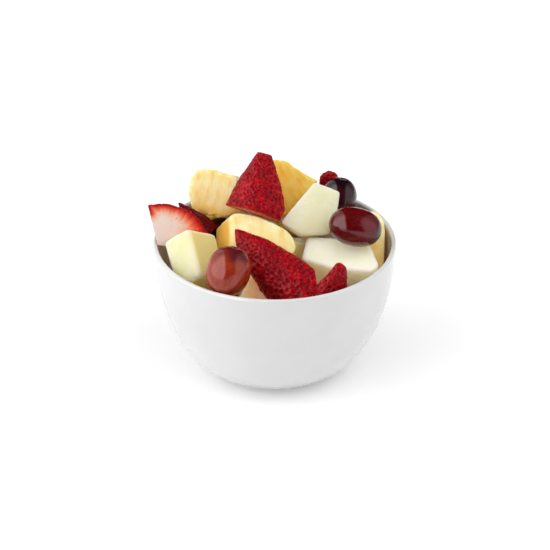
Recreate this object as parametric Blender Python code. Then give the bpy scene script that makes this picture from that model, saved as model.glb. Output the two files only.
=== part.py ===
"""A fruit salad heaped in its white porcelain bowl.

Sizes are in millimetres and turned into metres as each mesh is made. The origin is the centre of the
bowl's foot. Fruit is placed from the centre of the rim, so its heights are heights above the rim.
"""

import math

import bmesh
import bpy
from mathutils import Matrix, Vector, noise
from mathutils.bvhtree import BVHTree

MM = 0.001

# Bowl
RIM_RADIUS = 60.0
BOWL_HEIGHT = 68.0
FOOT_RADIUS = 30.0
FOOT_HEIGHT = 1.2
FOOT_WIDTH = 2.6
FOOT_SLOPE = 0.7
WALL = 2.4
FLOOR = 4.6
BELLY_START = 28.3
BOWL_SIDES = 48
WALL_RINGS = 9
LIP_RINGS = 4

# Fruit
KNIFE_EDGE = 1.0
GRAPE_SIDES = 16
GRAPE_RINGS = 9
GRAPE_BLUNTNESS = 2.3
BERRY_SIDES = 20
BERRY_RINGS = 9
TIP_CROWDING = 1.3
TIP_ROUNDING = 12
SHOULDER_SHARE = 0.35

# What lies under the shown fruit
FILL_LEVEL = 53.0
WALL_RISE = 4.0
REAR_RISE = 5.0
FILL_EDGE = 6.0
FILL_LUMPS = 3.0
LUMP_RATE = 0.09
FILL_RINGS = 12
FILL_REACH = 6.5
REACH_RINGS = 5
REACH_SPOKES = 16
GAP = 0.8

FINISHES = {
    "porcelain": ((0.90, 0.90, 0.89), 0.12),
    "strawberry": ((0.45, 0.015, 0.025), 0.35),
    "red_grape": ((0.16, 0.01, 0.02), 0.15),
    "dark_grape": ((0.03, 0.004, 0.01), 0.15),
    "pineapple": ((0.88, 0.62, 0.20), 0.45),
    "honeydew": ((0.80, 0.80, 0.52), 0.40),
    "cantaloupe": ((0.88, 0.50, 0.24), 0.42),
    "mixed_fruit": ((0.45, 0.25, 0.12), 0.50),
}


def finish(name):
    """The named material, made on first use."""
    found = bpy.data.materials.get(name)
    if found:
        return found
    colour, roughness = FINISHES[name]
    made = bpy.data.materials.new(name)
    made.use_nodes = True
    shader = made.node_tree.nodes["Principled BSDF"]
    shader.inputs["Base Color"].default_value = (*colour, 1.0)
    shader.inputs["Roughness"].default_value = roughness
    shader.inputs["Metallic"].default_value = 0.0
    return made


def add_object(name, shape, material, parent=None, smooth_angle=40.0):
    """Turns a bmesh in millimetres into an object in metres."""
    bmesh.ops.scale(shape, vec=(MM, MM, MM), verts=shape.verts)
    bmesh.ops.recalc_face_normals(shape, faces=shape.faces)
    mesh = bpy.data.meshes.new(name)
    shape.to_mesh(mesh)
    shape.free()
    mesh.materials.append(finish(material))
    mesh.shade_smooth()
    mesh.set_sharp_from_angle(angle=math.radians(smooth_angle))
    obj = bpy.data.objects.new(name, mesh)
    bpy.context.scene.collection.objects.link(obj)
    obj.parent = parent
    return obj


def ring_of(shape, radius, height, sides):
    """A level ring of vertices, or one vertex where the radius is 0."""
    if radius == 0.0:
        return [shape.verts.new((0.0, 0.0, height))]
    angles = [math.tau * k / sides for k in range(sides)]
    return [shape.verts.new((radius * math.cos(a), radius * math.sin(a), height)) for a in angles]


def skin(shape, rings, sides):
    """Joins each ring to the next with faces."""
    for lower, upper in zip(rings, rings[1:]):
        for k in range(sides):
            after = (k + 1) % sides
            corners = [lower[k % len(lower)], lower[after % len(lower)]]
            corners += [upper[after % len(upper)], upper[k % len(upper)]]
            shape.faces.new(list(dict.fromkeys(corners)))


def turned(profile, sides):
    """A bmesh of revolution about Z. Profile points are (radius, height); radius 0 closes on the axis."""
    shape = bmesh.new()
    skin(shape, [ring_of(shape, radius, height, sides) for radius, height in profile], sides)
    return shape


def belly(start, top_radius, low, high, rings):
    """A quarter ellipse from the flat bottom at (start, low) up to (top_radius, high)."""
    points = []
    for k in range(rings + 1):
        angle = 0.5 * math.pi * k / rings
        radius = start + (top_radius - start) * math.sin(angle)
        points.append((radius, high - (high - low) * math.cos(angle)))
    return points


def inner_radius(height):
    """The radius of the bowl's hollow at a height above the foot."""
    low = (BOWL_HEIGHT - height) / (BOWL_HEIGHT - FLOOR)
    start = BELLY_START - WALL
    return start + (RIM_RADIUS - WALL - start) * math.sqrt(max(0.0, 1.0 - low * low))


def make_bowl():
    """A round-bellied bowl with a rounded lip and a low foot ring."""
    lip = WALL / 2.0
    lip_height = BOWL_HEIGHT - lip
    inner_foot = FOOT_RADIUS - FOOT_WIDTH
    profile = [(0.0, FOOT_HEIGHT), (inner_foot - FOOT_SLOPE, FOOT_HEIGHT), (inner_foot, 0.0)]
    profile.append((FOOT_RADIUS, 0.0))
    outside = belly(BELLY_START, RIM_RADIUS, FOOT_HEIGHT, lip_height, WALL_RINGS)
    profile += [point for point in outside if point[0] > FOOT_RADIUS + FOOT_SLOPE]
    for k in range(1, LIP_RINGS):
        angle = math.pi * k / LIP_RINGS
        profile.append((RIM_RADIUS - lip + lip * math.cos(angle), lip_height + lip * math.sin(angle)))
    inside = belly(BELLY_START - WALL, RIM_RADIUS - WALL, FLOOR, lip_height, WALL_RINGS)
    profile += reversed(inside)
    profile.append((0.0, FLOOR))
    return add_object("bowl", turned(profile, BOWL_SIDES), "porcelain")


def put(obj, place, turn):
    """Places an object: millimetres from the rim's centre, and degrees about X, Y and Z."""
    obj.location = Vector(place) * MM
    obj.rotation_euler = [math.radians(angle) for angle in turn]


def point_along(obj, base, tip, facing):
    """Lays local Z from base to tip, with local -Y turned as near to facing as it goes."""
    along = (Vector(tip) - Vector(base)).normalized()
    back = -(Vector(facing) - Vector(facing).dot(along) * along).normalized()
    side = back.cross(along)
    axes = Matrix((side, back, along)).transposed()
    obj.location = Vector(base) * MM
    obj.rotation_euler = axes.to_euler()


def cut_chunk(name, material, rim, outline, depth, place, tilt, heading, back=0.9, drift=(0.0, 0.0)):
    """A knife-cut chunk: its shown face is outline, and it narrows to its back.

    Tilt 0 lays the face level and 90 stands it upright; heading turns it to the right.
    """
    shape = bmesh.new()
    middle = sum((Vector(corner) for corner in outline), Vector((0.0, 0.0))) / len(outline)
    shown = [shape.verts.new((x, y, 0.0)) for x, y in outline]
    hidden = []
    for corner in outline:
        x, y = middle + (Vector(corner) - middle) * back + Vector(drift)
        hidden.append(shape.verts.new((x, y, -depth)))
    shape.faces.new(shown)
    shape.faces.new(hidden[::-1])
    for k in range(len(outline)):
        after = (k + 1) % len(outline)
        shape.faces.new((shown[k], hidden[k], hidden[after], shown[after]))
    obj = add_object(name, shape, material, rim)
    bevel = obj.modifiers.new("knife_edge", "BEVEL")
    bevel.width = KNIFE_EDGE * MM
    bevel.segments = 2
    put(obj, place, (tilt, 0.0, heading))
    return obj


def grape(name, material, rim, length, width, base, toward, facing=(0.0, -1.0, 0.5)):
    """An oblong grape with blunt ends. Base is its middle, toward the direction of its stem end."""
    profile = []
    for k in range(GRAPE_RINGS + 1):
        angle = math.pi * k / GRAPE_RINGS
        height = -math.cos(angle)
        radius = math.sqrt(1.0 - abs(height) ** GRAPE_BLUNTNESS) if 0 < k < GRAPE_RINGS else 0.0
        profile.append((radius * width / 2.0, height * length / 2.0))
    obj = add_object(name, turned(profile, GRAPE_SIDES), material, rim)
    point_along(obj, base, Vector(base) + Vector(toward), facing)
    return obj


def berry_piece(name, material, rim, width, thick, base, tip, facing, blunt=0.0, taper=1.3, shoulder=1.0,
                cuts=()):
    """A strawberry cut lengthwise: a cone from its shoulder to its tip, its skin turned to facing.

    Blunt is the share of the width left at the tip, and shoulder the share at the base. Each further cut
    is a plane, as a point and the direction that falls away, in the berry's own axes.
    """
    length = (Vector(tip) - Vector(base)).length
    profile = [(0.0, 0.0)]
    for k in range(BERRY_RINGS):
        t = 1.0 - (1.0 - k / BERRY_RINGS) ** TIP_CROWDING
        swell = shoulder + (1.0 - shoulder) * math.sin(0.5 * math.pi * min(1.0, t / SHOULDER_SHARE))
        cone = 1.0 - (1.0 - blunt) * t ** taper
        profile.append((swell * cone * math.sqrt(1.0 - t ** TIP_ROUNDING), t * length))
    profile.append((0.0, length))
    shape = turned(profile, BERRY_SIDES)
    bmesh.ops.scale(shape, vec=(width / 2.0, thick / 2.0, 1.0), verts=shape.verts)
    for point, away in [((0.0, 0.0, 0.0), (0.0, 1.0, 0.0)), *cuts]:
        everything = shape.verts[:] + shape.edges[:] + shape.faces[:]
        cut = bmesh.ops.bisect_plane(shape, geom=everything, plane_co=point, plane_no=away, clear_outer=True)
        open_edges = [e for e in cut["geom_cut"] if isinstance(e, bmesh.types.BMEdge)]
        bmesh.ops.holes_fill(shape, edges=open_edges, sides=0)
    obj = add_object(name, shape, material, rim)
    point_along(obj, base, tip, facing)
    return obj


def add_shown_fruit(rim):
    """The fruit that shows from the front, roughly from front to back."""
    grape("grape_front", "red_grape", rim, 24.5, 21.5, (-21.8, -42.3, 5.9), (0.3, 0.3, 1.0))
    berry_piece("strawberry_front", "strawberry", rim, 28.0, 24.0, (15.9, -36.0, -14.5),
                (-20.6, -14.0, 13.0), (-0.1, -0.8, 0.6), blunt=0.15, taper=1.9,
                cuts=[((-2.0, 0.0, 46.5), (-0.75, 0.0, 0.66)), ((10.5, 0.0, 4.0), (0.8, 0.0, -0.6))])
    berry_piece("strawberry_small", "strawberry", rim, 19.0, 14.0, (22.5, -42.2, -18.2),
                (31.3, -40.0, 9.8), (0.3, -0.8, 0.5), blunt=0.35, taper=1.8,
                cuts=[((-4.2, 0.0, 20.0), (-0.95, -0.3, 0.3))])
    cut_chunk("cantaloupe_front", "cantaloupe", rim,
              [(-0.5, 9.0), (10.0, -5.0), (7.0, -14.0), (-10.5, -13.0), (-3.5, 2.5)], 10.0,
              (-11.0, -30.0, -11.5), 55.0, -4.0)
    cut_chunk("honeydew_left", "honeydew", rim,
              [(0.0, 0.0), (-10.0, -10.2), (-6.7, -16.7), (9.0, -16.0), (14.0, -8.0)], 25.0,
              (-35.5, -36.0, -2.3), 124.0, 16.0, back=1.0)
    cut_chunk("honeydew_right", "honeydew", rim,
              [(-17.0, 7.1), (-3.0, 6.1), (14.0, 2.0), (18.0, -11.0), (14.0, -15.0), (-5.0, -13.0),
               (-20.0, -7.0)], 19.0, (33.0, -5.7, -1.4), 22.0, 0.0, back=1.0)
    cut_chunk("pineapple_centre", "pineapple", rim,
              [(-20.0, 7.0), (-15.0, 9.0), (-7.0, 7.2), (4.0, 1.7), (9.0, -1.8), (12.5, -7.5), (12.5, -13.0),
               (10.0, -16.0), (-8.0, -14.0), (-20.0, -10.0)], 14.0, (-2.0, -6.0, 10.0), 35.0, 4.0,
              back=0.95, drift=(-8.0, 0.0))
    cut_chunk("honeydew_top", "honeydew", rim,
              [(3.0, 13.5), (15.5, 7.5), (13.5, -1.0), (8.0, -13.5), (-7.0, -13.5), (-16.0, -6.0)], 11.0,
              (18.0, 6.0, 14.0), 50.0, 8.0)
    cut_chunk("honeydew_under", "honeydew", rim, [(-8.0, 0.0), (4.6, 0.0), (4.6, -12.0), (-7.0, -13.0)],
              10.0, (10.0, 3.6, -4.0), 80.0, 0.0)
    grape("grape_right", "red_grape", rim, 27.0, 19.5, (39.4, -5.5, 9.6), (1.0, 0.1, -0.3))
    berry_piece("strawberry_top", "strawberry", rim, 33.5, 24.0, (-10.3, 5.0, 6.6), (-3.9, 28.0, 41.0),
                (0.0, -0.85, 0.5), blunt=0.0, taper=1.35,
                cuts=[((0.0, 0.0, 3.4), (-0.17, -0.12, -1.0)), ((0.0, 0.0, 34.5), (0.1, 0.0, 1.0)),
                      ((14.9, 0.0, 10.4), (1.0, 0.0, -0.25))])
    cut_chunk("pineapple_left", "pineapple", rim,
              [(-9.0, 11.5), (-0.5, 12.0), (6.0, 10.5), (12.0, 10.0), (15.5, -8.5), (5.0, -12.0),
               (-4.5, -10.5), (-10.5, -8.5), (-12.5, -1.0), (-12.0, 7.0)], 17.0,
              (-31.0, 15.8, 17.0), 62.0, -12.0)
    cut_chunk("pineapple_back", "pineapple", rim,
              [(-9.0, 9.5), (-1.0, 8.5), (3.0, 4.5), (8.0, 1.0), (14.0, -3.0), (10.0, -15.0), (-2.0, -20.0),
               (-9.0, -20.0)], 14.0, (8.0, 30.0, 19.0), 60.0, 10.0)
    grape("grape_back", "dark_grape", rim, 22.0, 18.5, (32.5, 30.4, 6.6), (0.2, 0.2, 1.0))
    berry_piece("strawberry_back", "strawberry", rim, 14.0, 8.0, (29.6, 43.2, -6.6), (27.5, 42.6, 16.6),
                (0.0, -0.85, 0.5), blunt=0.6, taper=2.0)
    cut_chunk("pineapple_right", "pineapple", rim,
              [(-5.0, 12.0), (0.5, 12.0), (4.0, 7.5), (4.5, 1.0), (3.0, -18.0), (-3.5, -18.0)], 12.0,
              (51.0, 8.0, -2.5), 70.0, 10.0)
    berry_piece("strawberry_left", "strawberry", rim, 22.0, 17.0, (-64.1, -5.0, 12.3), (-32.2, -5.0, 5.7),
                (0.0, 0.95, -0.2), taper=4.5, shoulder=0.75, cuts=[((7.5, 0.0, 1.1), (-0.4, 0.0, -0.92))])
    berry_piece("strawberry_left_back", "strawberry", rim, 15.0, 14.0, (-34.2, 7.8, -1.9),
                (-48.5, 12.0, 14.9), (0.0, -0.85, 0.5), taper=1.5)
    grape("grape_left", "dark_grape", rim, 22.0, 18.0, (-28.6, 15.3, -6.7), (1.0, 0.2, 0.3))


def add_hidden_side(rim):
    """The fruit on the far side of the heap, and low behind the near rim."""
    cut_chunk("cantaloupe_low", "cantaloupe", rim, [(-6.0, 6.0), (7.0, 5.0), (8.5, -5.0), (-5.0, -6.5)], 9.0,
              (34.0, -30.0, -12.5), -28.0, 15.0)
    cut_chunk("pineapple_rear", "pineapple", rim, [(-9.0, 7.0), (5.5, 4.5), (8.5, -5.5), (-8.5, -6.5)],
              11.0, (-36.5, 33.5, -6.0), -25.0, 42.0, back=0.85)
    cut_chunk("honeydew_rear", "honeydew", rim,
              [(-9.0, 6.5), (7.0, 7.5), (11.0, 0.0), (9.0, -8.0), (-9.0, -8.0)], 15.0,
              (-6.0, 47.0, 3.0), -38.0, 8.0)
    cut_chunk("cantaloupe_rear", "cantaloupe", rim, [(-7.3, 7.0), (7.0, 7.0), (9.0, -6.0), (-6.3, -8.0)],
              13.0, (14.7, 46.0, 0.5), -35.0, -20.0)
    grape("grape_rear", "red_grape", rim, 22.0, 18.5, (-27.5, 39.8, 4.2), (1.0, 0.5, 0.1))
    berry_piece("strawberry_rear", "strawberry", rim, 18.0, 16.0, (43.0, 19.0, -14.0), (33.0, 37.5, -12.5),
                (0.3, 0.2, 0.9), taper=1.8)


def lowest_over(tree, x, y):
    """The height at which a line rising at (x, y), or within FILL_REACH of it, first meets the fruit."""
    found = BOWL_HEIGHT
    for ring in range(REACH_RINGS + 1):
        reach = FILL_REACH * ring / REACH_RINGS
        for k in range(REACH_SPOKES):
            angle = math.tau * (k + 0.5 * (ring % 2)) / REACH_SPOKES
            start = Vector((x + reach * math.cos(angle), y + reach * math.sin(angle), 0.0))
            hit = tree.ray_cast(start, Vector((0.0, 0.0, 1.0)))[0]
            if hit:
                found = min(found, hit.z)
    return found


def fruit_tree(fruit):
    """A tree of all the fruit's faces, in millimetres from the bowl's foot."""
    corners = []
    faces = []
    for obj in fruit:
        place = Matrix.Translation((0.0, 0.0, BOWL_HEIGHT)) @ Matrix.Scale(1.0 / MM, 4) @ obj.matrix_basis
        first = len(corners)
        corners += [place @ vertex.co for vertex in obj.data.vertices]
        faces += [[first + k for k in face.vertices] for face in obj.data.polygons]
    return BVHTree.FromPolygons(corners, faces)


def make_fill(fruit):
    """The fruit under what shows, as one solid: it follows the bowl below and the shown fruit above."""
    tree = fruit_tree(fruit)
    shape = bmesh.new()
    angles = [math.tau * k / BOWL_SIDES for k in range(BOWL_SIDES)]
    rings = [ring_of(shape, 0.0, FLOOR + GAP, BOWL_SIDES)]
    for radius, height in belly(BELLY_START - WALL, RIM_RADIUS - WALL, FLOOR, BOWL_HEIGHT, WALL_RINGS):
        if height < FILL_LEVEL - FILL_EDGE:
            rings.append(ring_of(shape, radius - GAP, height + GAP, BOWL_SIDES))
    for k in range(FILL_RINGS, 0, -1):
        share = k / FILL_RINGS
        reach = (inner_radius(FILL_LEVEL + WALL_RISE) - GAP) * share
        ring = []
        for a in angles:
            x, y = reach * math.cos(a), reach * math.sin(a)
            lump = FILL_LUMPS * noise.noise((x * LUMP_RATE, y * LUMP_RATE, 0.0))
            rear = max(0.0, math.sin(a)) * REAR_RISE * share
            level = FILL_LEVEL + lump * (1.0 - share) + WALL_RISE * share ** 4 + rear
            height = min(level, lowest_over(tree, x, y) - GAP)
            radius = min(reach, inner_radius(height) - GAP)
            ring.append(shape.verts.new((radius * math.cos(a), radius * math.sin(a), height)))
        rings.append(ring)
    rings.append(ring_of(shape, 0.0, lowest_over(tree, 0.0, 0.0) - GAP, BOWL_SIDES))
    skin(shape, rings, BOWL_SIDES)
    return add_object("fruit_below", shape, "mixed_fruit")


def main():
    for obj in list(bpy.data.objects):
        bpy.data.objects.remove(obj)
    make_bowl()
    rim = bpy.data.objects.new("rim_centre", None)
    bpy.context.scene.collection.objects.link(rim)
    rim.location = (0.0, 0.0, BOWL_HEIGHT * MM)
    add_shown_fruit(rim)
    add_hidden_side(rim)
    make_fill([obj for obj in bpy.data.objects if obj.parent == rim])


main()
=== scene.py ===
import math
import random

import bpy
import numpy as np
from mathutils import Matrix, Vector, noise
from mathutils.bvhtree import BVHTree
from mathutils.kdtree import KDTree


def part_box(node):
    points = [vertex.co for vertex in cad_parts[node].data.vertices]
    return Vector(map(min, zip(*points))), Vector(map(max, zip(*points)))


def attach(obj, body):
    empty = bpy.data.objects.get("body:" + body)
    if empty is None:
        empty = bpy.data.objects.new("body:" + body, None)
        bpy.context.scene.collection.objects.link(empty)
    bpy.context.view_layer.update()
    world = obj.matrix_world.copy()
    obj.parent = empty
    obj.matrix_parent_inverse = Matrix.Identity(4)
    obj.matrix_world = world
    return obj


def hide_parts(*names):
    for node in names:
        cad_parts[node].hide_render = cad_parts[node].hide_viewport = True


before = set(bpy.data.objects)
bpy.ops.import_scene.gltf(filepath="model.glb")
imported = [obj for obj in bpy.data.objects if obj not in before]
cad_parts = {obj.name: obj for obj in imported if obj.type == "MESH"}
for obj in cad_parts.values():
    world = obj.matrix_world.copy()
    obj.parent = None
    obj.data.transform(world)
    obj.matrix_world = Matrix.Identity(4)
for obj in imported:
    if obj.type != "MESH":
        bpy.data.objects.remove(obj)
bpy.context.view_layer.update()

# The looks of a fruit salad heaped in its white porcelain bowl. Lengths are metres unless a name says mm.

MM = 0.001


# ---------------------------------------------------------------- mesh helpers

def add_mesh(name, points, faces, place=None):
    """A mesh object from points in the model's frame, kept in the axes of place."""
    place = place or Matrix.Identity(4)
    mesh = bpy.data.meshes.new(name)
    mesh.from_pydata([place.inverted() @ Vector(p) for p in points], [], faces)
    mesh.update()
    obj = bpy.data.objects.new(name, mesh)
    bpy.context.scene.collection.objects.link(obj)
    obj.matrix_world = place
    mesh.shade_smooth()
    return obj


def get_points(mesh):
    """A mesh's points as an array."""
    points = np.empty(len(mesh.vertices) * 3, np.float32)
    mesh.vertices.foreach_get("co", points)
    return points.reshape(-1, 3).astype(float)


def set_points(mesh, points):
    """Moves a mesh's points."""
    mesh.vertices.foreach_set("co", np.asarray(points, np.float32).ravel())
    mesh.update()


def get_normals(mesh):
    """A mesh's point normals as an array."""
    normals = np.empty(len(mesh.vertices) * 3, np.float32)
    mesh.vertices.foreach_get("normal", normals)
    return normals.reshape(-1, 3).astype(float)


def surface_of(mesh):
    """A mesh's surface, for casting rays at."""
    return BVHTree.FromPolygons([v.co for v in mesh.vertices], [f.vertices for f in mesh.polygons])


def set_value(mesh, name, values):
    """Stores one number for each point, for the material to read."""
    layer = mesh.attributes.new(name, "FLOAT", "POINT")
    layer.data.foreach_set("value", np.asarray(values, np.float32))


def changed_mesh(mesh, kind, **settings):
    """A copy of a mesh, changed by one modifier."""
    copy = bpy.data.objects.new("copy", mesh.copy())
    bpy.context.scene.collection.objects.link(copy)
    modifier = copy.modifiers.new("change", kind)
    for key, value in settings.items():
        setattr(modifier, key, value)
    bpy.context.view_layer.update()
    changed = bpy.data.meshes.new_from_object(copy.evaluated_get(bpy.context.evaluated_depsgraph_get()))
    bpy.data.objects.remove(copy)
    return changed


def remeshed(node, voxel_mm, place, name):
    """A finely and evenly meshed copy of a CAD solid, in the axes of place."""
    mesh = changed_mesh(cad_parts[node].data, "REMESH", mode="VOXEL", voxel_size=voxel_mm * MM)
    mesh.name = name
    mesh.materials.clear()
    mesh.transform(place.inverted())
    obj = bpy.data.objects.new(name, mesh)
    bpy.context.scene.collection.objects.link(obj)
    obj.matrix_world = place
    mesh.shade_smooth()
    return obj


def relax(mesh, rounds):
    """Rounds a mesh off: each point moves halfway to the middle of its neighbours."""
    edges = np.empty(len(mesh.edges) * 2, np.int32)
    mesh.edges.foreach_get("vertices", edges)
    first, second = edges.reshape(-1, 2).T
    points = get_points(mesh)
    count = np.bincount(first, minlength=len(points)) + np.bincount(second, minlength=len(points))
    for _ in range(rounds):
        total = np.zeros_like(points)
        for axis in range(3):
            total[:, axis] += np.bincount(first, points[second, axis], len(points))
            total[:, axis] += np.bincount(second, points[first, axis], len(points))
        points += 0.5 * (total / count[:, None] - points)
    set_points(mesh, points)


def lathe(profile, sides):
    """Points and faces of a turned shape, from its outline as (radius, height) pairs in mm."""
    points = []
    starts = []
    for radius, height in profile:
        starts.append(len(points))
        for k in range(sides if radius else 1):
            a = math.tau * k / sides
            points.append((radius * math.cos(a), radius * math.sin(a), height))
    faces = []
    for this, that, (this_radius, _), (that_radius, _) in zip(starts, starts[1:], profile, profile[1:]):
        for k in range(sides):
            n = (k + 1) % sides
            corners = [this + k, this + n] if this_radius else [this]
            corners += [that + n, that + k] if that_radius else [that]
            faces.append(corners)
    return np.array(points) * MM, faces


def waves(points, size_mm, seed, stretch=(1.0, 1.0, 1.0)):
    """Smooth noise at each point, about -1 to 1, with lumps of about size_mm. Each seed gives other lumps."""
    rate = np.asarray(stretch) / (size_mm * MM)
    shift = Vector((17.3 * seed, -9.1 * seed, 4.7 * seed))
    return np.array([noise.noise(Vector(p) + shift) for p in points * rate])


def step(low, high, values):
    """0 below low, 1 above high, smooth between."""
    t = np.clip((values - low) / (high - low), 0.0, 1.0)
    return t * t * (3.0 - 2.0 * t)


SAME_PLANE_COSINE = 0.99999
SAME_PLANE_MM = 0.01


def flat_faces(node, least_mm2, triangles=2):
    """The flat faces of a CAD solid, largest first, each as its area, middle and outward normal.

    A flat face has at least least_mm2 of area and is made of at least that many triangles.
    """
    planes = []
    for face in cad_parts[node].data.polygons:
        for normal, point, faces in planes:
            off = abs((face.center - point).dot(normal))
            if face.normal.dot(normal) > SAME_PLANE_COSINE and off < SAME_PLANE_MM * MM:
                faces.append(face)
                break
        else:
            planes.append((face.normal.copy(), face.center.copy(), [face]))
    found = []
    for normal, _, faces in planes:
        area = sum(face.area for face in faces)
        if len(faces) >= triangles and area > least_mm2 * MM * MM:
            middle = sum((face.center * face.area for face in faces), Vector()) / area
            found.append((area, middle, normal))
    return sorted(found, key=lambda item: -item[0])


def axes_frame(origin, x, y, z):
    """A placement from an origin and three unit axes."""
    turn = Matrix((x, y, z)).transposed().to_4x4()
    return Matrix.Translation(origin) @ turn


# ---------------------------------------------------------------- materials

def linear(*screen):
    """A colour given as it looks on screen, 0 to 255, as the shader wants it (the sRGB curve undone)."""
    return tuple(((c / 255 + 0.055) / 1.055) ** 2.4 if c > 10 else c / 255 / 12.92 for c in screen)


class Look:
    """A material made of nodes."""

    def __init__(self, name, **settings):
        self.material = bpy.data.materials.new(name)
        self.material.use_nodes = True
        self.tree = self.material.node_tree
        self.shader = self.tree.nodes["Principled BSDF"]
        for key, value in settings.items():
            self.shader.inputs[key.replace("_", " ")].default_value = value
        self.place = self.add("ShaderNodeTexCoord").outputs["Object"]

    def add(self, kind, **settings):
        made = self.tree.nodes.new(kind)
        for key, value in settings.items():
            setattr(made, key, value)
        return made

    def link(self, source, target):
        self.tree.links.new(source, target)

    def attribute(self, name):
        return self.add("ShaderNodeAttribute", attribute_name=name).outputs["Fac"]

    def noise(self, size_mm, detail=2.0, stretch=(1, 1, 1), roughness=0.5):
        """Noise with lumps of about size_mm, from 0 to 1. A stretch above 1 makes it finer that way."""
        spread = self.add("ShaderNodeVectorMath", operation="MULTIPLY")
        spread.inputs[1].default_value = [s / (size_mm * MM) for s in stretch]
        self.link(self.place, spread.inputs[0])
        made = self.add("ShaderNodeTexNoise")
        made.inputs["Scale"].default_value = 1.0
        made.inputs["Detail"].default_value = detail
        made.inputs["Roughness"].default_value = roughness
        self.link(spread.outputs[0], made.inputs["Vector"])
        return made.outputs["Fac"]

    def ramp(self, value, *stops):
        """Colours along a value: stops are (place, colour), and a plain number is a grey."""
        made = self.add("ShaderNodeValToRGB")
        bar = made.color_ramp.elements
        while len(bar) < len(stops):
            bar.new(0.5)
        for slot, (spot, colour) in zip(bar, stops):
            slot.position = spot
            slot.color = (*colour, 1.0) if isinstance(colour, tuple) else (colour, colour, colour, 1.0)
        self.link(value, made.inputs["Fac"])
        return made.outputs["Color"]

    def mix(self, share, below, above):
        """Lays the colour above over the colour below by share."""
        made = self.add("ShaderNodeMix", data_type="RGBA")
        sockets = (made.inputs["Factor"], made.inputs[6], made.inputs[7])
        for socket, value in zip(sockets, (share, below, above)):
            if isinstance(value, bpy.types.NodeSocket):
                self.link(value, socket)
            elif isinstance(value, tuple):
                socket.default_value = (*value, 1.0)
            else:
                socket.default_value = value
        return made.outputs[2]

    def maths(self, operation, first, second):
        made = self.add("ShaderNodeMath", operation=operation)
        for socket, value in zip(made.inputs, (first, second)):
            if isinstance(value, bpy.types.NodeSocket):
                self.link(value, socket)
            else:
                socket.default_value = value
        return made.outputs[0]

    def colour(self, socket):
        self.link(socket, self.shader.inputs["Base Color"])

    def bump(self, height, depth_mm):
        made = self.add("ShaderNodeBump")
        made.inputs["Strength"].default_value = 1.0
        made.inputs["Distance"].default_value = depth_mm * MM
        self.link(height, made.inputs["Height"])
        self.link(made.outputs["Normal"], self.shader.inputs["Normal"])


def porcelain_look():
    """White glaze, tinted orange-brown inside: partly a film of juice, partly painted warm light from the
    fruit.
    """
    look = Look("porcelain", Roughness=0.13, Coat_Weight=0.5, Coat_Roughness=0.05, IOR=1.5)
    cloud = look.noise(18.0, 3.0)
    glaze = look.ramp(cloud, (0.3, linear(222, 222, 222)), (0.7, linear(226, 226, 226)))
    patches = look.ramp(look.noise(9.0, 2.0), (0.3, 0.3), (0.7, 0.6))
    # Painted warm light from the fruit, with a little juice: an orange-brown tint in patches on the inside
    # wall.
    juice_and_light_share = look.maths("MULTIPLY", look.attribute("juice_and_fruit_light"), patches)
    look.colour(look.mix(juice_and_light_share, glaze, linear(226, 180, 110)))
    look.link(look.ramp(look.noise(7.0, 2.0), (0.2, 0.10), (0.8, 0.17)), look.shader.inputs["Roughness"])
    look.bump(look.noise(9.0, 1.0), 0.006)
    return look.material


def bisque_look():
    """The unglazed clay under the foot ring."""
    look = Look("bisque", Roughness=0.75)
    grain = look.noise(0.5, 3.0)
    look.colour(look.ramp(grain, (0.3, linear(214, 208, 198)), (0.7, linear(232, 228, 220))))
    look.bump(grain, 0.05)
    return look.material


def melon_look(name, pale, deep, edge, rind_tint_and_shade, radius):
    """Smooth wet melon flesh: cloudy, with a fine grain, and paler along its rounded edges, a painted
    highlight.
    """
    look = Look(name, Roughness=0.36, Subsurface_Weight=0.85, Subsurface_Scale=0.015, Coat_Weight=0.12,
                Coat_Roughness=0.25, IOR=1.34)
    look.shader.inputs["Subsurface Radius"].default_value = radius
    cloud = look.ramp(look.noise(8.0, 3.0), (0.32, pale), (0.68, deep))
    grain = look.noise(1.1, 3.0, (1, 1, 0.4))
    flesh = look.mix(look.ramp(grain, (0.4, 0.0), (0.75, 0.3)), cloud, edge)
    # Deeper colour where the chunk marks it: partly the tint near the rind, partly painted shade on shaded
    # sides and low ends.
    flesh = look.mix(look.maths("MULTIPLY", look.attribute("rind_tint_and_shade"), 0.7), flesh, rind_tint_and_shade)
    # Painted highlight: the rounded edges are paler, as where they catch the light.
    look.colour(look.mix(look.maths("MULTIPLY", look.attribute("edge"), 0.55), flesh, edge))
    look.link(look.ramp(look.noise(2.2, 2.0), (0.3, 0.28), (0.7, 0.48)), look.shader.inputs["Roughness"])
    look.bump(look.noise(0.8, 3.0), 0.09)
    return look.material


def pineapple_look(name, pale, warm, deep, fibre_share):
    """Wet fibrous pineapple: blotches, and strands along the object's Y."""
    look = Look(name, Roughness=0.36, Subsurface_Weight=0.6, Subsurface_Scale=0.008, Coat_Weight=0.12,
                Coat_Roughness=0.22, IOR=1.35)
    look.shader.inputs["Subsurface Radius"].default_value = (1.0, 0.8, 0.3)
    cloud = look.ramp(look.noise(7.0, 2.0), (0.36, pale), (0.64, warm))
    fibre = look.noise(1.3, 4.0, (1.0, 0.14, 1.0))
    strands = look.mix(look.ramp(fibre, (0.4, 0.0), (0.72, fibre_share)), cloud, deep)
    blotch = look.noise(4.0, 3.0, (1.0, 0.5, 1.0))
    flesh = look.mix(look.ramp(blotch, (0.5, 0.0), (0.72, 0.7)), strands, deep)
    # Deeper colour where the chunk marks it: partly the flesh's own golden tint, partly painted shade on
    # shaded sides and low ends.
    flesh = look.mix(look.maths("MULTIPLY", look.attribute("rind_tint_and_shade"), 0.95), flesh, deep)
    # Painted highlight: the rounded edges are paler, as where they catch the light.
    look.colour(look.mix(look.maths("MULTIPLY", look.attribute("edge"), 0.4), flesh, pale))
    look.link(look.ramp(fibre, (0.3, 0.44), (0.7, 0.28)), look.shader.inputs["Roughness"])
    look.bump(fibre, 0.07)
    return look.material


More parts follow.
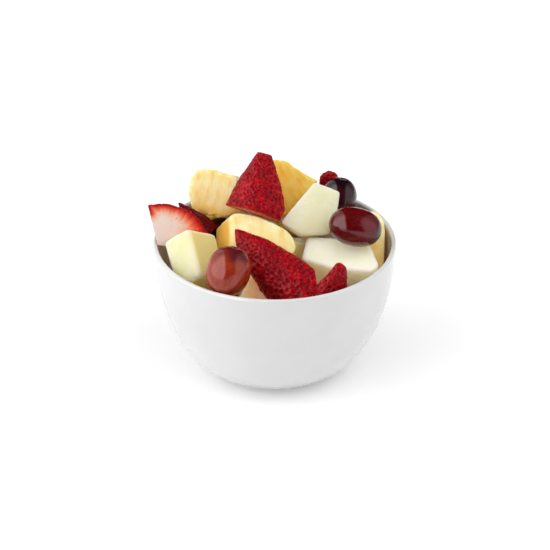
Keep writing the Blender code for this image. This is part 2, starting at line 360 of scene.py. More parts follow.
def strawberry_look(name, shade_share):
    """Red dimpled skin, and on the cut faces flesh that goes from red at the skin to white inside.

    Its second argument paints shade: it darkens the skin towards wine red, for a berry that lies in shade.
    """
    look = Look(name, Roughness=0.34, Specular_IOR_Level=0.1, Subsurface_Weight=0.06,
                Subsurface_Scale=0.002, Coat_Weight=0.22, Coat_Roughness=0.1, IOR=1.35)
    look.shader.inputs["Subsurface Radius"].default_value = (1.0, 0.2, 0.12)
    cloud = look.ramp(look.noise(6.0, 2.0), (0.3, linear(158, 2, 16)), (0.5, linear(180, 4, 22)),
                      (0.7, linear(208, 10, 24)))
    mottle = look.ramp(look.noise(1.3, 3.0, roughness=0.6), (0.44, 0.0), (0.62, 0.75))
    skin = look.mix(mottle, cloud, linear(118, 0, 14))
    # Painted highlight: small pale pink glints, as on wet skin.
    painted_glint = look.ramp(look.noise(0.9, 2.0), (0.6, 0.0), (0.74, 0.4))
    skin = look.mix(painted_glint, skin, linear(222, 62, 70))
    # Painted shade: the dimples are darkened in colour as well as sunk.
    skin = look.mix(look.maths("MULTIPLY", look.attribute("dimple"), 0.8), skin, linear(96, 0, 12))
    # Painted shade: the whole skin darkened, for a berry that lies in shade.
    skin = look.mix(shade_share, skin, linear(52, 0, 8))
    inside = look.maths("ADD", look.attribute("inside"), look.maths("MULTIPLY", look.noise(1.6, 3.0), 0.1))
    flesh = look.ramp(inside, (0.04, linear(132, 4, 20)), (0.12, linear(190, 22, 28)),
                      (0.24, linear(228, 70, 48)), (0.42, linear(246, 140, 104)),
                      (0.6, linear(250, 196, 172)), (0.9, linear(250, 224, 214)))
    look.colour(look.mix(look.attribute("cut"), skin, flesh))
    look.link(look.ramp(look.noise(0.9, 2.0), (0.3, 0.2), (0.7, 0.38)), look.shader.inputs["Roughness"])
    look.bump(look.noise(0.6, 3.0), 0.25)
    return look.material


def seed_look():
    """Red-brown seeds, some lighter than others."""
    look = Look("strawberry_seed", Roughness=0.4, Specular_IOR_Level=0.25)
    look.colour(look.ramp(look.noise(3.0, 1.0), (0.35, linear(112, 8, 14)), (0.7, linear(150, 40, 26))))
    look.bump(look.noise(0.2, 1.0), 0.02)
    return look.material


def grape_look(name, body, blush, deep, bloom, dark_end):
    """Thin glossy skin over translucent flesh, darker at the ends, with a broken haze of bloom."""
    look = Look(name, Roughness=0.3, Specular_IOR_Level=0.15, Subsurface_Weight=0.08, Subsurface_Scale=0.004,
                Coat_Weight=0.7, Coat_Roughness=0.05, IOR=1.42)
    look.shader.inputs["Subsurface Radius"].default_value = (1.0, 0.25, 0.12)
    cloud = look.ramp(look.noise(8.0, 3.0), (0.35, body), (0.65, blush))
    streak = look.noise(2.6, 4.0, (1.0, 1.0, 0.3))
    skin = look.mix(look.ramp(streak, (0.48, 0.0), (0.75, 0.7)), cloud, deep)
    haze = look.maths("MULTIPLY", look.noise(5.0, 4.0, roughness=0.65), look.noise(1.2, 2.0))
    skin = look.mix(look.ramp(haze, (0.28, 0.0), (0.5, 0.035)), skin, bloom)
    skin = look.mix(look.attribute("shoulder"), skin, dark_end)
    look.colour(look.mix(look.attribute("scar"), skin, linear(74, 44, 40)))
    look.link(look.ramp(haze, (0.2, 0.2), (0.42, 0.36)), look.shader.inputs["Roughness"])
    look.bump(look.noise(0.6, 2.0), 0.015)
    return look.material


# ---------------------------------------------------------------- the bowl

RIM_MM, _, BOWL_TOP_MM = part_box("bowl")[1] / MM
BOWL_SIDES = 192
FOOT_MM = 30.0
FOOT_HEIGHT_MM = 1.2
FOOT_WIDTH_MM = 2.6
FOOT_CHAMFER_MM = 0.3
BISQUE_TOP_MM = 0.25
WALL_MM = 2.4
LIP_MM = WALL_MM / 2
FLOOR_MM = 4.6
BELLY_START_MM = 28.3
OUTSIDE_POINTS = 72
INSIDE_POINTS = 56
LIP_POINTS = 12
# The inside wall's warm tint, partly juice and partly painted light from the fruit: where it starts and is
# full below the rim, and its share at the front and back.
WARM_TINT_BELOW_RIM_MM = (3.0, 12.0)
WARM_TINT_BEHIND = 0.25


def quarter(start, end, low, high, count):
    """A quarter ellipse from (start, low), level there, up to (end, high)."""
    angles = np.linspace(0.0, math.pi / 2, count)
    return [(start + (end - start) * math.sin(a), high - (high - low) * math.cos(a)) for a in angles]


def inner_radius(height_mm):
    """The radius of the bowl's hollow at a height."""
    top = BOWL_TOP_MM - LIP_MM
    low = min(1.0, max(0.0, (top - height_mm) / (top - FLOOR_MM)))
    start = BELLY_START_MM - WALL_MM
    return start + (RIM_MM - WALL_MM - start) * math.sqrt(1.0 - low * low)


def bowl_profile():
    """The bowl's outline as (radius, height) in mm, from the middle of the underside to the middle inside."""
    inner_foot = FOOT_MM - FOOT_WIDTH_MM
    profile = [(0.0, FOOT_HEIGHT_MM), (inner_foot - 0.7, FOOT_HEIGHT_MM), (inner_foot - 0.2, 0.75)]
    profile += [(inner_foot, 0.22), (inner_foot + 0.25, 0.0)]
    profile += [(FOOT_MM - 0.35, 0.0), (FOOT_MM, FOOT_CHAMFER_MM)]
    wall_top = BOWL_TOP_MM - LIP_MM
    outside = quarter(BELLY_START_MM, RIM_MM, FOOT_HEIGHT_MM, wall_top, OUTSIDE_POINTS)
    profile += [point for point in outside if point[0] > FOOT_MM + 0.7]
    for angle in np.linspace(0.0, math.pi, LIP_POINTS)[1:-1]:
        profile.append((RIM_MM - LIP_MM + LIP_MM * math.cos(angle), wall_top + LIP_MM * math.sin(angle)))
    profile += quarter(BELLY_START_MM - WALL_MM, RIM_MM - WALL_MM, FLOOR_MM, wall_top, INSIDE_POINTS)[::-1]
    profile.append((0.0, FLOOR_MM))
    return profile


def make_bowl():
    """A smooth turned bowl: foot ring, round belly, rounded lip and hollow."""
    bowl = add_mesh("porcelain_bowl", *lathe(bowl_profile(), BOWL_SIDES))
    x, y, height = get_points(bowl.data).T / MM
    radius = np.hypot(x, y)
    within = np.array([r < inner_radius(h) + 0.3 and h > FLOOR_MM - 0.1 for r, h in zip(radius, height)])
    aside = np.abs(x) / np.maximum(radius, 1.0)
    sides_only = WARM_TINT_BEHIND + (1.0 - WARM_TINT_BEHIND) * aside ** 4
    # Painted warm light from the fruit, with a little juice: a tint on the inside wall, deeper below the rim
    # and strongest at the sides.
    set_value(bowl.data, "juice_and_fruit_light", within * step(*WARM_TINT_BELOW_RIM_MM, BOWL_TOP_MM - height) * sides_only)
    bowl.data.materials.append(porcelain_look())
    bowl.data.materials.append(bisque_look())
    for face in bowl.data.polygons:
        face.material_index = int(face.center.z < BISQUE_TOP_MM * MM)
    finish_piece(bowl, "porcelain", "bowl")


def finish_piece(obj, slot, *nodes):
    """Ties a piece to the model's root body and hides the CAD nodes that it stands for. Its slot is not used.
    """
    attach(obj, "root")
    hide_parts(*nodes)
    return obj


# ---------------------------------------------------------------- cut chunks

CHUNK_VOXEL_MM = 0.5
CHUNK_FACE_LEAST_MM2 = 20.0
CHUNK_WAVES_MM = 0.14
CHUNK_GRAIN_MM = 0.049
FIBRE_MM = 1.8
FIBRE_STRETCH = (1.0, 0.14, 1.0)


def chunk_frame(node, fibre):
    """Axes for a chunk: its middle, Y along its fibres and Z off its largest face."""
    low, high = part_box(node)
    normal = flat_faces(node, CHUNK_FACE_LEAST_MM2)[0][2]
    along = Vector(fibre) - Vector(fibre).dot(normal) * normal
    along.normalize()
    return axes_frame((low + high) / 2, along.cross(normal), along, normal)


def chunk(node, slot, look, fibre, seed, rounding=6, ribs=0.0, bites=0.0, rind_tint_and_shade=(), low=0.0):
    """A knife-cut chunk with softened edges, a slightly wavy cut and its own grain.

    Rounding is how often its edges are relaxed. Ribs are ridges along the fibres, and bites are the notches
    that a fibrous edge tears into, both in mm. Rind holds the directions of the sides coloured deeper, and
    low is how deep the colour gets at the lower end, from 0 to 1; both are partly tint, partly painted shade.
    """
    obj = remeshed(node, CHUNK_VOXEL_MM, chunk_frame(node, fibre), node + "_fruit")
    mesh = obj.data
    sharp = get_points(mesh)
    relax(mesh, rounding)
    points = get_points(mesh)
    edge = step(0.06, 0.32, np.linalg.norm(points - sharp, axis=1) / MM)
    normals = get_normals(mesh)
    height = CHUNK_WAVES_MM * waves(points, 7.0, seed) + CHUNK_GRAIN_MM * waves(points, 1.8, seed + 1)
    if ribs:
        height += ribs * waves(points, FIBRE_MM, seed + 2, FIBRE_STRETCH)
    if bites:
        height += bites * edge * waves(points, 2.4, seed + 3)
    set_points(mesh, points + normals * height[:, None] * MM)
    # The looks paint the edges paler with this, a painted highlight.
    set_value(mesh, "edge", edge)
    # Painted shade, with some of the flesh's own deeper tint: the sides that face the given directions and
    # the lower end of the piece are coloured deeper.
    deeper = np.zeros(len(points))
    for direction in rind_tint_and_shade:
        toward = obj.matrix_world.to_3x3().inverted() @ Vector(direction).normalized()
        deeper = np.maximum(deeper, step(0.3, 0.9, normals @ np.array(toward)))
    heights = np.array([(obj.matrix_world @ Vector(p)).z for p in points])
    sunk = (heights.max() - heights) / (heights.max() - heights.min()) + 0.15 * waves(points, 4.0, seed + 7)
    set_value(mesh, "rind_tint_and_shade", np.maximum(deeper, low * step(0.35, 0.8, sunk)))
    mesh.materials.append(look)
    return finish_piece(obj, slot, node)


# ---------------------------------------------------------------- strawberries

BERRY_VOXEL_MM = 0.32
BERRY_ROUNDING = 4
BERRY_GRAIN_MM = 0.12
BERRY_LUMPS_MM = 0.45
BERRY_DENTS_MM = 0.32
CUT_FACE_LEAST_MM2 = 8.0
CUT_FACE_TRIANGLES = 4
DIMPLE_DEPTH_MM = 0.5
DIMPLE_SIZE = 0.48
DIMPLE_SIZE_CHANGE = 0.14
DIMPLE_BEND_MM = 0.8
DIMPLE_BEND_SIZE_MM = 1.6
DIMPLE_NOISE_SEED = 7
HALF_CUT = 0.5
STREAK_MM = 1.5
STREAK_DEPTH = 0.45
SEED_LENGTH_MM = 0.85
SEED_RAISED_MM = 0.06
SEED_RINGS = 4
SEED_SIDES = 7
SEED_OFF_BASE_MM = 0.6
SEED_OFF_TIP_MM = 0.5
SEED_OFF_CUT_MM = 0.45
SEED_JITTER = 0.3
SEED_ROW_SHARE = 0.84


def berry_frame(node, toward_tip):
    """Axes for a cut strawberry: Z to its tip, Y off its long cut, from the middle of that cut."""
    _, middle, back = flat_faces(node, CUT_FACE_LEAST_MM2, CUT_FACE_TRIANGLES)[0]
    spots = [v.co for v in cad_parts[node].data.vertices if abs((v.co - middle).dot(back)) < 0.1 * MM]
    spread = np.array(spots) - np.mean(spots, axis=0)
    along = Vector(np.linalg.eigh(spread.T @ spread)[1][:, 2])
    along -= along.dot(back) * back
    along.normalize()
    if along.dot(Vector(toward_tip)) < 0:
        along.negate()
    return axes_frame(middle, back.cross(along), back, along)


def place_seeds(mesh, planes, wide_mm, narrow_mm, seed):
    """Seed spots on the skin, in staggered rows from base to tip: point, outward normal and spacing in mm.

    A row's seeds are wide_mm apart at the base and narrow_mm at the tip. None is on a cut face, given as
    planes.
    """
    draw = random.Random(seed)
    skin = surface_of(mesh)
    points = get_points(mesh)
    low, high = points[:, 2].min(), points[:, 2].max()
    spots = []
    height = low + SEED_OFF_BASE_MM * MM
    row = 0
    while height < high - SEED_OFF_TIP_MM * MM:
        share = (height - low) / (high - low)
        gap = (wide_mm + (narrow_mm - wide_mm) * share) * MM
        near = points[np.abs(points[:, 2] - height) < gap]
        centre_x = (near[:, 0].min() + near[:, 0].max()) / 2
        reach = max(gap, (near[:, 0].max() - near[:, 0].min()) / 2)
        steps = max(2, int(round(math.pi * reach * 0.95 / gap)))
        for k in range(-1, steps + 2):
            angle = -math.pi * (k + 0.5 * (row % 2) + draw.uniform(-SEED_JITTER, SEED_JITTER)) / steps
            up = height + draw.uniform(-SEED_JITTER, SEED_JITTER) * gap
            start = Vector((centre_x, -0.2 * MM, up))
            hit, normal, _, _ = skin.ray_cast(start, Vector((math.cos(angle), math.sin(angle), 0.0)))
            if hit and all((hit - p).dot(n) < -SEED_OFF_CUT_MM * MM for p, n in planes):
                spots.append((hit, normal, gap / MM))
        height += gap * SEED_ROW_SHARE
        row += 1
    return spots


def seed_mesh(name, spots, place):
    """All the seeds of one berry as one mesh: small teardrops lying in their dimples."""
    rings, sides = SEED_RINGS, SEED_SIDES
    points = []
    faces = []
    for spot, normal, _ in spots:
        along = (Vector((0, 0, 1)) - normal.z * normal).normalized()
        side = along.cross(normal)
        first = len(points)
        for r in range(rings + 1):
            turn = math.pi * r / rings
            for k in range(sides):
                a = math.tau * k / sides
                wide = math.sin(turn) * (1.0 - 0.25 * math.cos(turn))
                offset = side * (0.30 * wide * math.cos(a)) + normal * (0.20 * wide * math.sin(a))
                offset -= along * (0.5 * math.cos(turn))
                sunk = normal * (DIMPLE_DEPTH_MM - SEED_RAISED_MM)
                points.append(spot + (offset * SEED_LENGTH_MM - sunk) * MM)
        for r in range(rings):
            for k in range(sides):
                n = (k + 1) % sides
                here = first + r * sides
                faces.append((here + k, here + n, here + sides + n, here + sides + k))
    return add_mesh(name, [place @ p for p in points], faces)


def cut_values(points, normals, planes):
    """How far each point belongs to a cut face, and how clear of the cuts it is, both from 0 to 1."""
    cut = np.zeros(len(points))
    off_cut = np.ones(len(points))
    for middle, normal in planes:
        distance = (points - np.array(middle)) @ np.array(normal)
        facing = normals @ np.array(normal)
        cut = np.maximum(cut, step(-0.75, -0.35, distance / MM) * step(0.6, 0.85, facing))
        off_cut = np.minimum(off_cut, step(0.0, 0.6, -distance / MM))
    return cut, off_cut


def dimple_values(points, cut, spots):
    """How deep each point of the skin lies in the dimple of its seed, from 0 to 1, with ridges between."""
    tree = KDTree(len(spots))
    for k, (spot, _, _) in enumerate(spots):
        tree.insert(spot, k)
    tree.balance()
    dimple = np.zeros(len(points))
    noise.seed_set(DIMPLE_NOISE_SEED)       # without it, noise_vector follows the clock
    for k, point in enumerate(points):
        if cut[k] < 0.9:
            bent = noise.noise_vector(Vector(point) / (DIMPLE_BEND_SIZE_MM * MM)) * DIMPLE_BEND_MM * MM
            (_, index, near), (_, _, far) = tree.find_n(Vector(point) + bent, 2)
            gap = spots[index][2] * MM
            size = DIMPLE_SIZE + DIMPLE_SIZE_CHANGE * math.sin(5.0 * index)
            ridge = min((far - near) / gap * 2.2, 1.0)
            dimple[k] = ridge * (1.0 - min(1.0, near / gap / size) ** 2.5)
    return np.clip(dimple, 0, 1)


def flesh_values(points, cut, skin, flesh):
    """How far inside each point of a cut is: 0 at the skin and 1 where the red ends, with streaks."""
    edge = KDTree(int(skin.sum()))
    for k in np.flatnonzero(skin):
        edge.insert(points[k], int(k))
    edge.balance()
    inside = np.zeros(len(points))
    low, high = points[:, 2].min(), points[:, 2].max()
    for k in np.flatnonzero(cut >= HALF_CUT):
        spot, _, distance = edge.find(points[k])
        share = (points[k][2] - low) / (high - low)
        reach = flesh[0] + (flesh[1] - flesh[0]) * share * share
        streak = noise.noise(Vector(spot) / (STREAK_MM * MM))
        inside[k] = distance / MM / reach * (1.0 - STREAK_DEPTH * streak)
    return np.clip(inside, 0, 1)


def berry(node, toward_tip, look, seeds_look, seed, spacing, flesh=(4.5, 4.5), skinned=None, red_side=None):
    """A cut strawberry: dimpled skin with seeds, and flesh that pales away from the skin.

    Spacing is how many mm the seeds are apart, at the base and at the tip, and flesh is how many mm the red
    reaches inward there. Skinned is the direction of a flat side that is skin all the same, and red side is
    the side of the cut that the red is kept to.
    """
    place = berry_frame(node, toward_tip)
    back_home = place.inverted()
    planes = []
    for _, middle, normal in flat_faces(node, CUT_FACE_LEAST_MM2, CUT_FACE_TRIANGLES):
        if skinned and normal.dot(Vector(skinned).normalized()) > 0.9:
            continue
        planes.append((back_home @ middle, (back_home.to_3x3() @ normal).normalized()))
    obj = remeshed(node, BERRY_VOXEL_MM, place, node + "_fruit")
    mesh = obj.data
    relax(mesh, BERRY_ROUNDING)
    points = get_points(mesh)
    normals = get_normals(mesh)
    cut, off_cut = cut_values(points, normals, planes)
    spots = place_seeds(mesh, planes, *spacing, seed)
    dimple = dimple_values(points, cut, spots) * off_cut * (1.0 - cut)
    height = -DIMPLE_DEPTH_MM * dimple + BERRY_GRAIN_MM * waves(points, 1.5, seed + 3)
    lumps = BERRY_LUMPS_MM * waves(points, 6.0, seed) + BERRY_DENTS_MM * waves(points, 2.8, seed + 5)
    height += lumps * (1.0 - cut)
    skin = cut < HALF_CUT
    if red_side:
        toward = np.array(back_home.to_3x3() @ Vector(red_side).normalized())
        skin = skin & ((points - points.mean(0)) @ toward > 0.0)
    set_value(mesh, "cut", cut)
    set_value(mesh, "dimple", dimple)
    set_value(mesh, "inside", flesh_values(points, cut, skin, flesh))
    set_points(mesh, points + normals * height[:, None] * MM)
    mesh.materials.append(look)
    mesh.transform(place)
    obj.matrix_world = Matrix.Identity(4)
    finish_piece(obj, "strawberry", node)
    seeds = seed_mesh(node + "_seeds", spots, place)
    seeds.data.materials.append(seeds_look)
    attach(seeds, "root")
    return obj


# ---------------------------------------------------------------- grapes

GRAPE_BLUNTNESS = 2.3
GRAPE_SIDES = 96
GRAPE_RINGS = 72
GRAPE_LUMPS_MM = 0.14
GRAPE_GRAIN_MM = 0.05
GRAPE_SMALLER_MM = 0.12
STEM_SCAR_MM = 1.9
BLOSSOM_DOT_MM = 0.6

# Dents are given as depth and radius.
STEM_DENT_MM = (0.75, 1.6)
BLOSSOM_DENT_MM = (0.15, 0.6)


def grape(node, slot, look, toward_stem, seed):
    """A smooth oblong grape with a stem scar and a blossom dot."""
    points = get_points(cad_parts[node].data)
    middle = points.mean(0)
    spread = points - middle
    along = Vector(np.linalg.eigh(spread.T @ spread)[1][:, 2])
    if along.dot(Vector(toward_stem)) < 0:
        along.negate()
    heights = spread @ np.array(along)
    middle = middle + np.array(along) * (heights.max() + heights.min()) / 2
    length = (heights.max() - heights.min()) / MM
    across = np.linalg.norm(spread - np.outer(heights, np.array(along)), axis=1)
    width = 2.0 * across.max() / MM
    side = along.orthogonal().normalized()
    place = axes_frame(Vector(middle), side, along.cross(side), along)
    profile = []
    for ring in range(GRAPE_RINGS + 1):
        height = -math.cos(math.pi * ring / GRAPE_RINGS)
        radius = (1.0 - abs(height) ** GRAPE_BLUNTNESS) ** 0.5
        profile.append((radius * width / 2, height * length / 2))
    local, faces = lathe(profile, GRAPE_SIDES)
    radial = np.hypot(local[:, 0], local[:, 1]) / MM
    top = local[:, 2] > 0
    scar = np.clip(1.0 - radial / np.where(top, STEM_SCAR_MM, BLOSSOM_DOT_MM), 0, 1)
    depth, reach = np.where(top[:, None], STEM_DENT_MM, BLOSSOM_DENT_MM).T
    dent = depth * np.exp(-((radial / reach) ** 2))
    local[:, 2] -= np.sign(local[:, 2]) * dent * MM
    lumps = GRAPE_LUMPS_MM * waves(local, 9.0, seed) + GRAPE_GRAIN_MM * waves(local, 3.0, seed + 1)
    local *= (1.0 + (lumps - GRAPE_SMALLER_MM) / (width / 2))[:, None]
    obj = add_mesh(node + "_fruit", [place @ Vector(p) for p in local], faces, place)
    set_value(obj.data, "scar", step(0.1, 0.45, scar))
    ends = local[:, 2] / (length / 2 * MM) + 0.25 * waves(local, 5.0, seed + 2)
    set_value(obj.data, "shoulder", 0.85 * step(0.45, 0.85, ends) + 0.45 * step(0.6, 1.0, -ends))
    obj.data.materials.append(look)
    return finish_piece(obj, slot, node)


# ---------------------------------------------------------------- small changes of shape

def bend(name, *moves):
    """Bends a piece, with its seeds, by moving corners of its box.

    Moves are (x, z, move): x and z say which side of the box, 0 for its low end and 1 for its high one, and
    move is in mm.
    """
    low = high = None
    for part in (name + "_fruit", name + "_seeds"):
        obj = bpy.data.objects.get(part)
        if not obj:
            continue
        place = np.array(obj.matrix_world)
        turn, origin = place[:3, :3], place[:3, 3]
        points = get_points(obj.data) @ turn.T + origin
        if low is None:
            low, high = points.min(0), points.max(0)
        share = (points - low) / (high - low)
        for x, z, move in moves:
            weight = (share[:, 0] if x else 1.0 - share[:, 0]) * (share[:, 2] if z else 1.0 - share[:, 2])
            points += weight[:, None] * np.array(move) * MM
        set_points(obj.data, (points - origin) @ turn)


# ---------------------------------------------------------------- the fruit below

BELOW_SPACING_MM = 12.6
BELOW_ROW_SHARE = 0.87
BELOW_REACH_MM = 52.0
BELOW_JITTER_MM = 1.5
BELOW_SIZE = 0.88
BELOW_SEED = 7
LAYER_DEPTHS_MM = (0.6, 10.0)
LAYER_SHIFT = (0.35, 0.4)
LAYER_NARROWER_MM = 4.0
WALL_GAP_MM = 0.9
SETTLE_ROUNDS = 4
SETTLE_POINTS = 120
ABOVE_ALL = 0.2
NO_SURFACE = 0.045


def height_at(surface, x, y):
    """The surface's height at a place, or the usual level of the fruit where there is none."""
    hit = surface.ray_cast(Vector((x, y, ABOVE_ALL)), Vector((0, 0, -1)))[0]
    return hit.z if hit else NO_SURFACE


def template(node, share):
    """A copy of a finished piece with that share of its faces: centred points, faces and point values."""
    mesh = changed_mesh(bpy.data.objects[node + "_fruit"].data, "DECIMATE", ratio=share)
    points = get_points(mesh)
    points -= (points.min(0) + points.max(0)) / 2
    values = {}
    for name in ("cut", "dimple", "inside", "edge", "scar"):
        if name in mesh.attributes:
            layer = np.empty(len(points), np.float32)
            mesh.attributes[name].data.foreach_get("value", layer)
            values[name] = layer
    return points, [tuple(face.vertices) for face in mesh.polygons], values


def settle(points, surface, depth_mm, x, y):
    """Sinks a piece at (x, y) until it lies under the surface and inside the bowl."""
    sample = points[:: max(1, len(points) // SETTLE_POINTS)]
    for _ in range(SETTLE_ROUNDS):
        height = min(height_at(surface, x + p[0], y + p[1]) - p[2] for p in sample)
        height -= depth_mm * MM
        over = 0.0
        for p in sample:
            reach = math.hypot(x + p[0], y + p[1]) / MM
            over = max(over, reach - inner_radius((height + p[2]) / MM) + WALL_GAP_MM)
        if over <= 0.0:
            break
        here = math.hypot(x, y)
        x *= 1.0 - over * MM / here
        y *= 1.0 - over * MM / here
    return np.array((x, y, height))


def below_spots(draw):
    """Jittered places for the loose fruit, in staggered rows, layer by layer: depth, x and y in mm."""
    rows = int(BELOW_REACH_MM / (BELOW_SPACING_MM * BELOW_ROW_SHARE)) + 1
    columns = int(BELOW_REACH_MM / BELOW_SPACING_MM) + 1
    for layer, depth in enumerate(LAYER_DEPTHS_MM):
        for row in range(-rows, rows + 1):
            for column in range(-columns, columns + 1):
                x = (column + 0.5 * (row % 2) + LAYER_SHIFT[0] * layer) * BELOW_SPACING_MM
                x += draw.uniform(-BELOW_JITTER_MM, BELOW_JITTER_MM)
                y = (row + LAYER_SHIFT[1] * layer) * BELOW_ROW_SHARE * BELOW_SPACING_MM
                y += draw.uniform(-BELOW_JITTER_MM, BELOW_JITTER_MM)
                if math.hypot(x, y) <= BELOW_REACH_MM - LAYER_NARROWER_MM * layer:
                    yield depth, x, y


def make_below(sources):
    """Two layers of loose fruit under the pieces that show, one object per kind.

    Sources hold each kind's object name, its templates, its slot and look, and how common it is.
    """
    draw = random.Random(BELOW_SEED)
    surface = surface_of(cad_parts["fruit_below"].data)
    kinds = [name for name, _, _, share in sources for _ in range(share)]
    gathered = {name: ([], [], {}) for name, _, _, _ in sources}
    templates = {name: shapes for name, shapes, _, _ in sources}
    for depth, x, y in below_spots(draw):
        name = draw.choice(kinds)
        points, faces, values = draw.choice(templates[name])
        turn = Matrix.Rotation(draw.uniform(0, math.tau), 3, "Z")
        turn = turn @ Matrix.Rotation(draw.uniform(0, math.tau), 3, "X")
        turn = turn @ Matrix.Rotation(draw.uniform(0, math.tau), 3, "Y")
        turned = points @ np.array(turn).T * BELOW_SIZE * draw.uniform(0.92, 1.06)
        turned = turned + settle(turned, surface, depth, x * MM, y * MM)
        all_points, all_faces, all_values = gathered[name]
        first = sum(len(part) for part in all_points)
        all_points.append(turned)
        all_faces.extend(tuple(first + corner for corner in face) for face in faces)
        for key, layer_values in values.items():
            all_values.setdefault(key, []).append(layer_values)
    for name, _, (slot, look), _ in sources:
        points, faces, values = gathered[name]
        piece = add_mesh(name, np.concatenate(points), faces)
        for key, parts in values.items():
            set_value(piece.data, key, np.concatenate(parts))
        piece.data.materials.append(look)
        finish_piece(piece, slot, "fruit_below")


CORE_DEPTH_MM = 15.0
CORE_LUMP_MM = 1.6
CORE_LUMP_SIZE_MM = 6.0
CORE_LEVELS_MM = (FLOOR_MM + 0.8, 8.0, 12.0, 18.0, 25.0, 32.0)
CORE_SIDES = 64
CORE_RINGS = 10


def pressed_fruit_look():
    """Mashed fruit of mixed colours."""
    look = Look("pressed_fruit", Roughness=0.3, Coat_Weight=0.3, Coat_Roughness=0.15)
    mash = look.noise(5.0, 4.0)
    look.colour(look.ramp(mash, (0.3, linear(126, 26, 20)), (0.5, linear(190, 118, 60)),
                          (0.7, linear(214, 172, 104))))
    look.bump(mash, 0.6)
    return look.material


def make_core():
    """The pressed, juicy fruit at the bottom, under the loose layers: a lathed side and a lumpy top."""
    surface = surface_of(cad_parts["fruit_below"].data)
    around = np.linspace(0, math.tau, CORE_SIDES, endpoint=False)
    side_top = CORE_LEVELS_MM[-1]
    points = []
    for height in CORE_LEVELS_MM:
        radius = inner_radius(height) - WALL_GAP_MM
        points += [(radius * math.cos(a), radius * math.sin(a), height) for a in around]
    for ring in range(CORE_RINGS):
        radius = (inner_radius(side_top) - 1.2) * (1.0 - ring / CORE_RINGS)
        for a in around:
            x, y = radius * math.cos(a), radius * math.sin(a)
            lump = CORE_LUMP_MM * noise.noise(Vector((x / CORE_LUMP_SIZE_MM, y / CORE_LUMP_SIZE_MM, 3.0)))
            height = height_at(surface, x * MM, y * MM) / MM - CORE_DEPTH_MM + lump
            points.append((x, y, max(side_top, height)))
    count = len(CORE_LEVELS_MM) + CORE_RINGS
    faces = []
    for level in range(count - 1):
        for k in range(CORE_SIDES):
            n = (k + 1) % CORE_SIDES
            here = level * CORE_SIDES
            faces.append((here + k, here + n, here + CORE_SIDES + n, here + CORE_SIDES + k))
    faces.append(tuple(range(CORE_SIDES))[::-1])
    faces.append(tuple((count - 1) * CORE_SIDES + k for k in range(CORE_SIDES)))
    core = add_mesh("fruit_core", np.array(points) * MM, faces)
    core.data.materials.append(pressed_fruit_look())
    finish_piece(core, "mixed_fruit", "fruit_below")


# ---------------------------------------------------------------- stage, light and camera

CAMERA_DISTANCE = 0.9
CAMERA_TILT_DEGREES = 30.05
CAMERA_AIM_BELOW_RIM = 0.02068
CAMERA_LENS_MM = 117.92
CAMERA_SENSOR_MM = 36.0
CAMERA_ASIDE = 0.000175
PANEL_LEFT = 2.08
PANEL_RIGHT = 0.74
LEFT_TOP = 1.7
RIGHT_TOP = 3.2
OVERHEAD = 1.2
BEHIND_SHARE = 0.25
ROOM_LIGHT = 0.075
WINDOW_LEFT = 3.2
WINDOW_RIGHT = 1.0
FLOOR_HALF = 3.0
FLOOR_GLOW = 0.2
FILL_FROM = (0.5, -0.7, 0.75)
FILL_DISTANCE = 0.6
FILL_SIZE = 0.3
FILL_WATTS = 0.95


def look_at(obj, target):
    """Turns a camera or light towards a point."""
    obj.rotation_euler = (Vector(target) - obj.location).to_track_quat("-Z", "Y").to_euler()


def make_camera():
    """A long lens looking down at the bowl from the front."""
    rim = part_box("bowl")[1].z
    aim = Vector((CAMERA_ASIDE, 0.0, rim - CAMERA_AIM_BELOW_RIM))
    tilt = math.radians(CAMERA_TILT_DEGREES)
    lens = bpy.data.cameras.new("camera")
    lens.lens = CAMERA_LENS_MM
    lens.sensor_width = CAMERA_SENSOR_MM
    camera = bpy.data.objects.new("camera", lens)
    bpy.context.scene.collection.objects.link(camera)
    camera.location = aim + CAMERA_DISTANCE * Vector((0.0, -math.cos(tilt), math.sin(tilt)))
    look_at(camera, aim)
    bpy.context.scene.camera = camera


